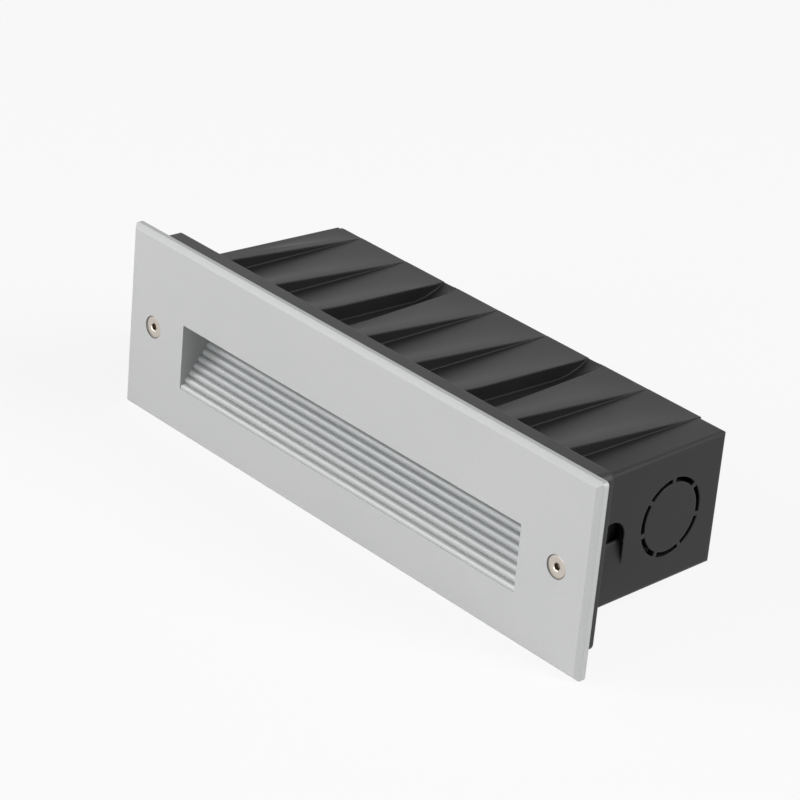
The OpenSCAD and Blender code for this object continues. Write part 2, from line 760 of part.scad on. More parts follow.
// Cast faceplate with its ridged light pocket.
module faceplate() {
  color([0.76, 0.77, 0.76]) difference() {
    union() {
      bevelled_plate();
      along_y(-plate_t / 4, pad_t) round_rect(pad_w, pad_h, pad_corner_r);
      along_x(-slot_w / 2 - cheek_t, slot_w / 2 + cheek_t) pocket_walls();
      block([-ceiling_w / 2, 0, slot_top], [ceiling_w / 2, ceiling_back, ceiling_top]);
      for (side = [-1, 1]) rod_z(side * carrier_screw_x, lens_mid_y, carrier_hole_z - boss_end, slot_top + ceiling_t / 2, boss_r);
      rod_y(earth_x, -earth_drop, pad_t / 2, earth_y, screw_r * 2);
    }
    along_x(-slot_w / 2, slot_w / 2) pocket_space();
    block([-lamp_window_w / 2, lens_mid_y - lamp_window_d / 2, slot_top - overrun],
      [lamp_window_w / 2, lens_mid_y + lamp_window_d / 2, ceiling_top + overrun]);
    for (side = [-1, 1]) {
      rod_y(side * plate_screw_x, 0, plate_front - overrun, overrun, plate_hole_r);
      rod_y(side * plate_screw_x, 0, plate_front - overrun, plate_head_y, plate_head_r + plate_head_clear);
      translate([side * plate_screw_x, plate_head_y, 0]) rotate([-90, 0, 0])
        cylinder(h = plate_head_r, r1 = plate_head_r, r2 = 0);
      rod_z(side * carrier_screw_x, lens_mid_y, carrier_hole_z, ceiling_top + overrun, tapped_r);
    }
    for (spot = housing_screw_spots) rod_y(spot[0], spot[1], flange_back - screw_l - tip_gap, pad_t + overrun, tapped_r);
    rod_y(earth_x, -earth_drop, earth_hole_y, earth_y + overrun, tapped_r);
  }
}

// Foam gasket between the plate and the collar.
module wall_gasket() {
  color([0.2, 0.2, 0.2]) difference() {
    along_y(0, wall_gasket_t) round_rect(collar_w - 2 * gasket_inset, collar_h - 2 * gasket_inset, collar_corner_r);
    along_y(-overrun, wall_gasket_t + overrun) round_rect(pad_w + 2 * pad_gap, pad_h + 2 * pad_gap, pad_corner_r);
    for (side = [-1, 1]) rod_y(side * plate_screw_x, 0, -overrun, wall_gasket_t + overrun, gasket_hole_r);
  }
}

// Tub that closes the light unit from behind.
module light_housing() {
  color([0.12, 0.12, 0.13]) difference() {
    union() {
      along_y(flange_y, flange_back) round_rect(pad_w, pad_h, pad_corner_r);
      along_y(flange_y, housing_d) round_rect(housing_w, housing_h, housing_corner_r);
    }
    difference() {
      along_y(flange_y - overrun, housing_floor) round_rect(cavity_w, cavity_h, housing_corner_r - housing_wall);
      for (x = driver_screw_spots) rod_y(x, 0, driver_back, housing_d, boss_r);
      block([block_x - block_w / 2, block_back, -block_h / 2], [block_x + block_w / 2, housing_d, block_h / 2]);
    }
    for (spot = housing_screw_spots) rod_y(spot[0], spot[1], flange_y - overrun, flange_back + overrun, clear_r);
    for (x = driver_screw_spots) rod_y(x, 0, driver_back - overrun, driver_hole_y, tapped_r);
    for (x = block_screw_spots) rod_y(x, 0, block_back - overrun, block_hole_y, tapped_r);
    rod_y(gland_x, 0, housing_floor - overrun, housing_d + overrun, gland_hole_r);
  }
}

// Gasket between the pad and the housing.
module housing_gasket() {
  color([0.25, 0.25, 0.25]) difference() {
    along_y(pad_t, flange_y) round_rect(pad_w, pad_h, pad_corner_r);
    along_y(pad_t - overrun, flange_y + overrun)
      round_rect(cavity_w + 2 * gasket_step, cavity_h + 2 * gasket_step, housing_corner_r - housing_wall + gasket_step);
    for (spot = housing_screw_spots) rod_y(spot[0], spot[1], pad_t - overrun, flange_y + overrun, clear_r);
  }
}

// Screws that hold the housing to the faceplate.
module housing_screws() {
  color([0.8, 0.8, 0.8]) for (spot = housing_screw_spots) rear_screw(spot[0], flange_back, spot[1], screw_l);
}

// Clear cover over the window in the ceiling of the pocket.
module lens() {
  color([0.9, 0.93, 0.95, 0.5]) block([-lens_w / 2, lens_y, lens_z], [lens_w / 2, lens_y + lens_d, lens_top]);
}

// Seal under the lens.
module lens_gasket() {
  color([0.3, 0.3, 0.3]) difference() {
    block([-lens_w / 2, lens_y, ceiling_top], [lens_w / 2, lens_y + lens_d, lens_z]);
    block([-lamp_window_w / 2 - lens_gap, lens_mid_y - lamp_window_d / 2 - lens_gap, ceiling_top - overrun],
      [lamp_window_w / 2 + lens_gap, lens_mid_y + lamp_window_d / 2 + lens_gap, lens_z + overrun]);
  }
}

// Bridge that presses the lens down and carries the light strip.
module led_carrier() {
  end_x = lens_w / 2 + lens_gap;
  color([0.78, 0.79, 0.8]) difference() {
    union() {
      block([-carrier_half, lens_y, web_z], [carrier_half, lens_y + lens_d, web_z + carrier_t]);
      block([-carrier_half, lens_y, lens_top], [carrier_half, lens_y + rail_t, web_z]);
      block([-carrier_half, lens_y + lens_d - rail_t, lens_top], [carrier_half, lens_y + lens_d, web_z]);
      for (side = [0, 1]) mirror([side, 0, 0]) {
        block([end_x, lens_y, ceiling_top], [carrier_half, lens_y + lens_d, web_z + carrier_t]);
        block([end_x, lens_y, ceiling_top], [ceiling_w / 2, lens_y + lens_d, ceiling_top + carrier_t]);
      }
    }
    for (side = [-1, 1])
      rod_z(side * carrier_screw_x, lens_mid_y, ceiling_top - overrun, ceiling_top + carrier_t + overrun, clear_r);
    for (x = board_screw_xs) rod_z(x, lens_mid_y, web_z - overrun, web_z + carrier_t + overrun, board_tapped_r);
    block([notch_x - notch_w / 2, lens_mid_y, lens_top - overrun], [notch_x + notch_w / 2, lens_y + lens_d + overrun, board_z]);
  }
}

// Screws that hold the carrier down on the ears of the ceiling.
module carrier_screws() {
  color([0.8, 0.8, 0.8]) for (side = [-1, 1]) translate([side * carrier_screw_x, lens_mid_y, ceiling_top + carrier_t])
    pan_screw(head_r, head_h, screw_r, screw_l);
}

// Circuit board of the light strip.
module led_board() {
  color([0.9, 0.9, 0.88]) difference() {
    block([-board_w / 2, lens_mid_y - board_d / 2, board_z], [board_w / 2, lens_mid_y + board_d / 2, web_z]);
    for (x = board_screw_xs) rod_z(x, lens_mid_y, board_z - overrun, web_z + overrun, board_tapped_r);
  }
}

// Light chips along the board.
module led_chips() {
  color([0.95, 0.85, 0.35]) for (i = [0:chip_count - 1]) {
    x = (i - (chip_count - 1) / 2) * chip_pitch;
    block([x - chip_size / 2, lens_mid_y - chip_size / 2, chip_z], [x + chip_size / 2, lens_mid_y + chip_size / 2, board_z]);
  }
}

// Screws that hold the board to the carrier.
module board_screws() {
  color([0.75, 0.75, 0.75]) for (x = board_screw_xs) translate([x, lens_mid_y, board_z]) rotate([180, 0, 0])
    pan_screw(board_head_r, board_head_h, board_screw_r, board_t + carrier_t);
}

// Driver that feeds the light strip.
module driver() {
  color([0.88, 0.88, 0.86]) difference() {
    union() {
      along_x(driver_start, driver_end) translate([driver_front + driver_d / 2, 0])
        round_rect(driver_d, driver_h, driver_r);
      block([driver_start - ear_l, driver_back - ear_t, -ear_w / 2], [driver_end + ear_l, driver_back, ear_w / 2]);
    }
    for (x = driver_screw_spots) rod_y(x, 0, driver_back - ear_t - overrun, driver_back + overrun, clear_r);
  }
}

// Screws that hold the driver.
module driver_screws() {
  color([0.8, 0.8, 0.8]) for (x = driver_screw_spots) front_screw(x, driver_back - ear_t, 0, screw_l);
}

// Insulating body of the three-pole terminal block.
module terminal_block() {
  color([0.93, 0.93, 0.9]) difference() {
    along_y(block_front, block_back) translate([block_x, 0]) round_rect(block_w, block_h, block_r);
    for (x = pole_spots) {
      rod_z(x, barrel_y, -block_h / 2 - overrun, block_h / 2 + overrun, barrel_r);
      for (z = [-clamp_z, clamp_z]) rod_y(x, z, block_front - overrun, barrel_y, well_r);
    }
    for (x = block_screw_spots) {
      rod_y(x, 0, block_front - overrun, block_front + block_sink, head_r + lens_gap);
      rod_y(x, 0, block_front, block_back + overrun, clear_r);
    }
  }
}

// Brass barrels of the terminal block.
module terminal_barrels() {
  half = block_h / 2 - barrel_inset;
  color([0.75, 0.6, 0.3]) for (x = pole_spots) difference() {
    rod_z(x, barrel_y, -half, half, barrel_r);
    rod_z(x, barrel_y, -half - overrun, half + overrun, barrel_bore_r);
    for (z = [-clamp_z, clamp_z]) rod_y(x, z, barrel_y - barrel_r - overrun, barrel_y, clamp_tapped_r);
  }
}

// Clamp screws of the terminal block.
module clamp_screws() {
  tip = barrel_y - lead_r;
  length = barrel_r + clamp_head_h;
  color([0.75, 0.75, 0.72]) for (x = pole_spots, z = [-clamp_z, clamp_z])
    translate([x, tip - length, z]) rotate([90, 0, 0]) pan_screw(clamp_head_r, clamp_head_h, clamp_r, length);
}

// Screws that hold the terminal block.
module terminal_screws() {
  color([0.8, 0.8, 0.8]) for (x = block_screw_spots) front_screw(x, block_front + block_sink, 0, block_screw_l);
}

// Threaded body of the cable gland.
module gland_body() {
  color([0.1, 0.1, 0.1]) difference() {
    union() {
      rod_y(gland_x, 0, housing_floor - locknut_t - gland_past, gland_barrel_back, gland_r);
      along_y(gland_hex_y, gland_hex_back) translate([gland_x, 0]) hexagon(gland_af);
    }
    rod_y(gland_x, 0, housing_floor - locknut_t - gland_past - overrun, gland_barrel_back + overrun, gland_bore_r);
    rod_y(gland_x, 0, seal_y, gland_barrel_back + overrun, seal_r);
  }
}

// Nut that holds the gland from inside the housing.
module gland_locknut() {
  color([0.1, 0.1, 0.1]) difference() {
    along_y(housing_floor - locknut_t, housing_floor) translate([gland_x, 0]) hexagon(gland_af);
    rod_y(gland_x, 0, housing_floor - locknut_t - overrun, housing_floor + overrun, gland_hole_r);
  }
}

// Rubber sleeve that grips the cable.
module gland_seal() {
  color([0.3, 0.3, 0.3]) difference() {
    rod_y(gland_x, 0, seal_y, seal_y + seal_l, seal_r);
    rod_y(gland_x, 0, seal_y - overrun, seal_y + seal_l + overrun, seal_bore_r);
  }
}

// Cap nut that squeezes the sleeve.
module gland_nut() {
  color([0.1, 0.1, 0.1]) difference() {
    along_y(cap_front, cap_back) translate([gland_x, 0]) hexagon(gland_af);
    rod_y(gland_x, 0, cap_front - overrun, cap_back - cap_end_t, gland_hole_r);
    rod_y(gland_x, 0, cap_front, cap_back + overrun, cap_hole_r);
  }
}

// Leads from the terminal block to the driver.
module input_leads() {
  run_y = housing_d - input_lead_y;
  turn_x = driver_start - ear_l - lead_step;
  color([0.35, 0.2, 0.12]) for (i = [0, 1]) {
    high = block_h / 2 + (2 - i) * lead_step;
    low = (1 - 2 * i) * lead_step;
    lead([[pole_spots[i], barrel_y, clamp_z - clamp_r], [pole_spots[i], barrel_y, high],
      [turn_x, run_y - i * lead_step, high], [turn_x, run_y - i * lead_step, low], [driver_start, run_y - i * lead_step, low]], lead_r);
  }
}

// Leads from the driver to the light strip.
module led_leads() {
  run_z = board_z - strip_lead_r;
  start_x = driver_end - driver_r - strip_lead_r;
  color([0.6, 0.1, 0.1]) for (side = [-1, 1]) {
    x = notch_x + side * notch_w / 4;
    z = -side * lead_step / 2;
    run_y = ceiling_back + (driver_front - ceiling_back) * (2 + side) / 4;
    lead([[start_x, driver_front, z], [start_x, run_y, z], [x, run_y, z], [x, run_y, run_z],
      [x, lens_mid_y + board_d / 2 - lead_step / 2, run_z]], strip_lead_r);
  }
}

// Earth lead with its lug, from the terminal block to the faceplate.
module earth_lead() {
  lug_y = earth_y + lug_t / 2;
  low = -earth_drop - lug_l;
  color([0.3, 0.55, 0.2]) {
    difference() {
      union() {
        rod_y(earth_x, -earth_drop, earth_y, earth_y + lug_t, head_r + lug_t);
        block([earth_x - lead_r, earth_y, low], [earth_x + lead_r, earth_y + lug_t, -earth_drop]);
      }
      rod_y(earth_x, -earth_drop, earth_y - overrun, earth_y + lug_t + overrun, clear_r);
    }
    lead([[earth_x, lug_y, low], [pole_spots[2], barrel_y, low], [pole_spots[2], barrel_y, -clamp_z + clamp_r]], lead_r);
  }
}

// Screw that holds the earth lug to the faceplate.
module earth_screw() {
  color([0.8, 0.8, 0.8]) rear_screw(earth_x, earth_y + lug_t, -earth_drop, screw_l);
}

// Washer that keeps a loosened faceplate screw in the plate.
module captive_washer(side) {
  color([0.85, 0.85, 0.82]) difference() {
    rod_y(side * plate_screw_x, 0, captive_y, captive_y + captive_t, captive_r);
    rod_y(side * plate_screw_x, 0, captive_y - overrun, captive_y + captive_t + overrun, captive_bore_r);
  }
}

// Countersunk faceplate screw with a hexagon socket.
module plate_screw(side) {
  color([0.72, 0.66, 0.6]) translate([side * plate_screw_x, plate_head_y, 0]) rotate([-90, 0, 0]) difference() {
    union() {
      cylinder(h = plate_head_r - plate_screw_r, r1 = plate_head_r, r2 = plate_screw_r);
      cylinder(h = plate_screw_l, r = plate_screw_r);
    }
    translate([0, 0, -overrun]) linear_extrude(socket_d + overrun) hexagon(socket_af);
  }
}

// The left and right washers and screws are the same pieces.
module captive_washer_left() { captive_washer(-1); }
module captive_washer_right() { captive_washer(1); }
module screw_left() { plate_screw(-1); }
module screw_right() { plate_screw(1); }

installation_box();
threaded_inserts();
faceplate();
wall_gasket();
light_housing();
housing_gasket();
housing_screws();
lens();
lens_gasket();
led_carrier();
carrier_screws();
led_board();
led_chips();
board_screws();
driver();
driver_screws();
terminal_block();
terminal_barrels();
clamp_screws();
terminal_screws();
gland_body();
gland_locknut();
gland_seal();
gland_nut();
input_leads();
led_leads();
earth_lead();
earth_screw();
captive_washer_left();
captive_washer_right();
screw_left();
screw_right();
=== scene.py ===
# Looks of the recessed step light: finishes, threaded screws, floor, lamps and camera

import json
import math

import bmesh
import bpy
from mathutils import Matrix, Vector


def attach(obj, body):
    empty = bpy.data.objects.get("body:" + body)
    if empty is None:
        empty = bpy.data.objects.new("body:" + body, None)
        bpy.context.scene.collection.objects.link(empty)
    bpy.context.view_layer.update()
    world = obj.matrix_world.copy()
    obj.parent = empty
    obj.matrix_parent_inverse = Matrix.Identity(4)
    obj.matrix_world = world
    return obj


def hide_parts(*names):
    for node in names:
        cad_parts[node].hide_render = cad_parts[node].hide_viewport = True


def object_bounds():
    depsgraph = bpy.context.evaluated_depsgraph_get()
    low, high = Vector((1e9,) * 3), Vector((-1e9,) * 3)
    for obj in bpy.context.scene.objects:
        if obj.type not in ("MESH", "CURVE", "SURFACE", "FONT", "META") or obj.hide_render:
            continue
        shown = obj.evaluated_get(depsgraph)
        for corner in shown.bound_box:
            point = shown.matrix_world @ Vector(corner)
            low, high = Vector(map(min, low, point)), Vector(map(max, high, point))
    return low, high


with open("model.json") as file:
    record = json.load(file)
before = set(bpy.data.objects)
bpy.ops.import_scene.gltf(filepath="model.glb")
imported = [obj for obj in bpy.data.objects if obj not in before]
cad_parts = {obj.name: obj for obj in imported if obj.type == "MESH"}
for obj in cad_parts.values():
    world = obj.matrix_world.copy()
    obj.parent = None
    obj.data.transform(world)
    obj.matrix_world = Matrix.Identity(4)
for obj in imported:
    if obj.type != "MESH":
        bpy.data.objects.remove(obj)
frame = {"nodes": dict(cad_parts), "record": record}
cad_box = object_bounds()
nodes = frame["nodes"]

# Sizes repeated from the part, in metres

MM = 0.001
COLLAR_DEPTH = 10.7 * MM
SCREW_X = 106 * MM
SCREW_FACE_Y = -3.3 * MM
SCREW_LENGTH = 15.6 * MM
SCREW_HEAD_RADIUS = 4.1 * MM
SCREW_RECESS_RADIUS = 4.25 * MM
SCREW_CREST_RADIUS = 1.94 * MM
SCREW_ROOT_RADIUS = 1.56 * MM
THREAD_PITCH = 0.7 * MM
SOCKET_FLATS = 2.5 * MM
SOCKET_DEPTH = 1.7 * MM
CHIP_PITCH = 14 * MM
CHIP_MIDDLE_Y = 9.6 * MM
PHOSPHOR_HALF = 1.0 * MM

# Painted shade in the pocket: the coat darkens from just behind the plate's face to a few millimetres in

POCKET_START_Y = -3.0 * MM
POCKET_DARK_Y = 3.0 * MM

# Most values of a noise texture lie between these

NOISE_LOW = 0.3
NOISE_HIGH = 0.7

# Studio

FLOOR_HALF_WIDTH = 4.0
FLOOR_GAP = 0.3 * MM
WHITE_SHARE = 0.88
ROOM_STRENGTH = 0.03
LAMP_DISTANCE = 2.5
LAMP_SIDE = 1.2

# Small helpers


def linear(code):
    """A colour written as an sRGB hex value, as the linear numbers that a shader takes."""
    parts = [int(code[i:i + 2], 16) / 255 for i in (1, 3, 5)]
    return [c / 12.92 if c <= 0.04045 else ((c + 0.055) / 1.055) ** 2.4 for c in parts] + [1.0]


def per_size(size_mm):
    """The scale of a pattern whose grains are that many millimetres across, on coordinates in metres."""
    return 1 / (size_mm * MM)


def add_node(tree, kind, settings=None, sockets=None):
    """Adds a node, sets its properties, and gives each named socket a value or another node's output."""
    node = tree.nodes.new(kind)
    for name, value in (settings or {}).items():
        setattr(node, name, value)
    for name, value in (sockets or {}).items():
        if isinstance(value, bpy.types.NodeSocket):
            tree.links.new(value, node.inputs[name])
        else:
            node.inputs[name].default_value = value
    return node


def new_material(name):
    """An empty node material, its tree, and the coordinates of the piece in metres."""
    material = bpy.data.materials.new(name)
    material.use_nodes = True
    tree = material.node_tree
    tree.nodes.clear()
    place = add_node(tree, "ShaderNodeTexCoord").outputs["Object"]
    return material, tree, place


def distance_from_screw(tree, place):
    """The distance from the axis of the nearer faceplate screw, and the separate coordinates of the point."""
    parts = add_node(tree, "ShaderNodeSeparateXYZ", sockets={"Vector": place})
    side = add_node(tree, "ShaderNodeMath", {"operation": "ABSOLUTE"}, {0: parts.outputs["X"]}).outputs[0]
    across = add_node(tree, "ShaderNodeMath", {"operation": "SUBTRACT"}, {0: side, 1: SCREW_X}).outputs[0]
    spoke = add_node(tree, "ShaderNodeCombineXYZ", sockets={"X": across, "Y": parts.outputs["Z"]}).outputs[0]
    radius = add_node(tree, "ShaderNodeVectorMath", {"operation": "LENGTH"}, {0: spoke}).outputs["Value"]
    return radius, parts


def finish_surface(tree, sockets, height=None, depth_mm=0.02, edge_mm=0.0):
    """The surface: edges rounded by so much, then the relief that the height gives, then the shader."""
    normal = None
    if edge_mm:
        normal = add_node(tree, "ShaderNodeBevel", {"samples": 6}, {"Radius": edge_mm * MM}).outputs["Normal"]
    if height:
        relief = {"Height": height, "Distance": depth_mm * MM, "Strength": 1.0}
        if normal:
            relief["Normal"] = normal
        normal = add_node(tree, "ShaderNodeBump", sockets=relief).outputs["Normal"]
    if normal:
        sockets = dict(sockets, Normal=normal)
    shader = add_node(tree, "ShaderNodeBsdfPrincipled", sockets=sockets)
    add_node(tree, "ShaderNodeOutputMaterial", sockets={"Surface": shader.outputs["BSDF"]})


# Materials of what shows in the photograph


def silver_powder_coat():
    """Silver-grey powder coat on cast aluminium: even, light and hardly shining.

    The orange peel of such a coat is about 0.4 mm wide. Three values were set to match the photo. A share of
    metal darkens the hollows, and its cause, flake in the coat, is a guess. The pocket is a fifth darker than
    the face, which is painted shade. Dull grey in the screw recesses is painted shade too, and draws the dark
    ring round each head.
    """
    material, tree, place = new_material("silver_powder_coat")
    peel = add_node(tree, "ShaderNodeTexNoise", sockets={
        "Vector": place, "Scale": per_size(0.45), "Detail": 2.0}).outputs["Fac"]
    cloud = add_node(tree, "ShaderNodeTexNoise", sockets={
        "Vector": place, "Scale": per_size(45), "Detail": 3.0}).outputs["Fac"]
    fine = add_node(tree, "ShaderNodeMix", {"data_type": "RGBA"}, {
        "Factor": peel, "A": linear("#babbba"), "B": linear("#d2d2d2")})
    tone = add_node(tree, "ShaderNodeMix", {"data_type": "RGBA"}, {
        "Factor": cloud, "A": linear("#f8f9f9"), "B": linear("#ffffff")})
    coat = add_node(tree, "ShaderNodeMix", {"data_type": "RGBA", "blend_type": "MULTIPLY"}, {
        "Factor": 1.0, "A": fine.outputs["Result"], "B": tone.outputs["Result"]})
    radius, parts = distance_from_screw(tree, place)
    # Painted shade: the coat turns a fifth darker from just behind the face into the pocket
    inside = add_node(tree, "ShaderNodeMapRange", sockets={
        "Value": parts.outputs["Y"], "From Min": POCKET_START_Y, "From Max": POCKET_DARK_Y}).outputs["Result"]
    # Painted shade: dull grey over the screw recesses, which draws the dark ring round each head
    recess = add_node(tree, "ShaderNodeMapRange", sockets={
        "Value": radius, "From Min": SCREW_RECESS_RADIUS + 0.02 * MM,
        "From Max": SCREW_RECESS_RADIUS + 0.05 * MM, "To Min": 1.0, "To Max": 0.0}).outputs["Result"]
    coat_with_pocket_shade = add_node(tree, "ShaderNodeMix", {"data_type": "RGBA", "blend_type": "MULTIPLY"}, {
        "Factor": inside, "A": coat.outputs["Result"], "B": linear("#e6e8e9")})
    base = add_node(tree, "ShaderNodeMix", {"data_type": "RGBA"}, {
        "Factor": recess, "A": coat_with_pocket_shade.outputs["Result"], "B": linear("#817f7b")})
    rough = add_node(tree, "ShaderNodeMapRange", sockets={
        "Value": cloud, "From Min": NOISE_LOW, "From Max": NOISE_HIGH, "To Min": 0.46, "To Max": 0.54})
    finish_surface(tree, {
        "Base Color": base.outputs["Result"], "Metallic": 0.2,
        "Roughness": rough.outputs["Result"]}, peel, 0.012, 0.2)
    return material


def moulded_black_plastic():
    """Black moulded plastic. The photo doesn't tell which, so the IOR is one that common plastics have.

    It is nearly black where it sees no light, and its satin skin turns dark grey where it mirrors the studio.
    The two specular levels, a lower one on the ribs than on the collar, were set to match the photo.
    The edges are shaded as rounded ones. Such a skin is about 0.3 mm wide and is drawn at 0.5 mm, so that
    it just shows.
    """
    material, tree, place = new_material("moulded_black_plastic")
    skin = add_node(tree, "ShaderNodeTexNoise", sockets={
        "Vector": place, "Scale": per_size(0.5), "Detail": 2.0}).outputs["Fac"]
    flow = add_node(tree, "ShaderNodeTexNoise", sockets={
        "Vector": place, "Scale": per_size(18), "Detail": 3.0}).outputs["Fac"]
    base = add_node(tree, "ShaderNodeMix", {"data_type": "RGBA"}, {
        "Factor": flow, "A": linear("#0c0c0d"), "B": linear("#151516")})
    rough = add_node(tree, "ShaderNodeMapRange", sockets={
        "Value": flow, "From Min": NOISE_LOW, "From Max": NOISE_HIGH, "To Min": 0.48, "To Max": 0.51})
    depth = add_node(tree, "ShaderNodeSeparateXYZ", sockets={"Vector": place}).outputs["Y"]
    shine = add_node(tree, "ShaderNodeMapRange", sockets={
        "Value": depth, "From Min": COLLAR_DEPTH, "From Max": COLLAR_DEPTH + 1.0 * MM,
        "To Min": 0.48, "To Max": 0.34})
    finish_surface(tree, {
        "Base Color": base.outputs["Result"], "IOR": 1.49, "Specular IOR Level": shine.outputs["Result"],
        "Roughness": rough.outputs["Result"]}, skin, 0.016, 0.8)
    return material


def turned_stainless():
    """Stainless steel of the faceplate screws, turned and lightly polished, with a warm cast.

    A lathe leaves rings about 0.05 mm apart. They are drawn at 0.15 mm, so that they just show.
    """
    material, tree, place = new_material("turned_stainless")
    radius, parts = distance_from_screw(tree, place)
    along = add_node(tree, "ShaderNodeCombineXYZ", sockets={"X": radius, "Y": parts.outputs["Y"]}).outputs[0]
    rings = add_node(tree, "ShaderNodeTexNoise", sockets={
        "Vector": along, "Scale": per_size(0.15), "Detail": 1.0}).outputs["Fac"]
    base = add_node(tree, "ShaderNodeMix", {"data_type": "RGBA"}, {
        "Factor": rings, "A": linear("#bdb5ab"), "B": linear("#cdc5bc")})
    rough = add_node(tree, "ShaderNodeMapRange", sockets={
        "Value": rings, "From Min": NOISE_LOW, "From Max": NOISE_HIGH, "To Min": 0.25, "To Max": 0.4})
    finish_surface(tree, {
        "Base Color": base.outputs["Result"], "Metallic": 1.0,
        "Roughness": rough.outputs["Result"]}, rings, 0.004)
    return material


def brown_socket_inside():
    """The inside of the hexagon socket: a dark, brownish steel, darker than the head. The
    inside of the hexagon socket: dark and brownish in the photo, taken for oiled steel.
    """
    material, tree, place = new_material("brown_socket_inside")
    socket_mottle = add_node(tree, "ShaderNodeTexNoise", sockets={
        "Vector": place, "Scale": per_size(0.6), "Detail": 2.0}).outputs["Fac"]
    base = add_node(tree, "ShaderNodeMix", {"data_type": "RGBA"}, {
        "Factor": socket_mottle, "A": linear("#6e5f50"), "B": linear("#8c7b6a")})
    finish_surface(tree, {
        "Base Color": base.outputs["Result"], "Metallic": 0.6, "Roughness": 0.55}, socket_mottle, 0.01)
    return material


def closed_cell_foam():
    """EPDM foam with its cut skin: dull, dark, with cells of about 0.7 mm that just show."""
    material, tree, place = new_material("closed_cell_foam")
    cells = add_node(tree, "ShaderNodeTexVoronoi", sockets={"Vector": place, "Scale": per_size(0.7)})
    base = add_node(tree, "ShaderNodeMix", {"data_type": "RGBA"}, {
        "Factor": cells.outputs["Distance"], "A": linear("#282828"), "B": linear("#151515")})
    finish_surface(tree, {
        "Base Color": base.outputs["Result"], "Roughness": 0.95}, cells.outputs["Distance"], 0.12)
    return material


# Materials of the pieces inside


def glass_filled_nylon():
    """Black nylon with short glass fibres: matt, with faint streaks of 1 mm by 7 mm along the flow."""
    material, tree, place = new_material("glass_filled_nylon")
    drawn_out = add_node(tree, "ShaderNodeMapping", sockets={"Vector": place, "Scale": (0.15, 1.0, 1.0)})
    streaks = add_node(tree, "ShaderNodeTexNoise", sockets={
        "Vector": drawn_out.outputs["Vector"], "Scale": per_size(1.0), "Detail": 3.0}).outputs["Fac"]
    base = add_node(tree, "ShaderNodeMix", {"data_type": "RGBA"}, {
        "Factor": streaks, "A": linear("#191919"), "B": linear("#2f2f31")})
    rough = add_node(tree, "ShaderNodeMapRange", sockets={
        "Value": streaks, "From Min": NOISE_LOW, "From Max": NOISE_HIGH, "To Min": 0.5, "To Max": 0.62})
    finish_surface(tree, {
        "Base Color": base.outputs["Result"], "Roughness": rough.outputs["Result"]}, streaks, 0.02, 0.3)
    return material


def moulded_skin(name, low, high, roughness, skin_mm=0.6, relief_mm=0.012, edge_mm=0.25):
    """A plastic or rubber of one colour whose skin is so many millimetres wide and so deep."""
    material, tree, place = new_material(name)
    skin = add_node(tree, "ShaderNodeTexNoise", sockets={
        "Vector": place, "Scale": per_size(skin_mm), "Detail": 2.0}).outputs["Fac"]
    base = add_node(tree, "ShaderNodeMix", {"data_type": "RGBA"}, {
        "Factor": skin, "A": linear(low), "B": linear(high)})
    finish_surface(tree, {
        "Base Color": base.outputs["Result"], "Roughness": roughness}, skin, relief_mm, edge_mm)
    return material


def worked_metal(name, low, high, rough_low, rough_high, mark_mm, stretch):
    """A bare or plated metal. Its marks are so many millimetres wide, and the stretch draws them out."""
    material, tree, place = new_material(name)
    drawn_out = add_node(tree, "ShaderNodeMapping", sockets={"Vector": place, "Scale": stretch})
    marks = add_node(tree, "ShaderNodeTexNoise", sockets={
        "Vector": drawn_out.outputs["Vector"], "Scale": per_size(mark_mm), "Detail": 2.0}).outputs["Fac"]
    base = add_node(tree, "ShaderNodeMix", {"data_type": "RGBA"}, {
        "Factor": marks, "A": linear(low), "B": linear(high)})
    rough = add_node(tree, "ShaderNodeMapRange", sockets={
        "Value": marks, "From Min": NOISE_LOW, "From Max": NOISE_HIGH,
        "To Min": rough_low, "To Max": rough_high})
    finish_surface(tree, {
        "Base Color": base.outputs["Result"], "Metallic": 1.0,
        "Roughness": rough.outputs["Result"]}, marks, 0.004, 0.12)
    return material


def clear_cover():
    """Toughened glass with ripples of about 12 mm from the furnace: clear, with a hint of green."""
    material, tree, place = new_material("clear_cover")
    ripple = add_node(tree, "ShaderNodeTexNoise", sockets={
        "Vector": place, "Scale": per_size(12), "Detail": 1.0}).outputs["Fac"]
    finish_surface(tree, {
        "Base Color": linear("#f2f7f5"), "Transmission Weight": 1.0, "IOR": 1.52,
        "Roughness": 0.02}, ripple, 0.01)
    return material


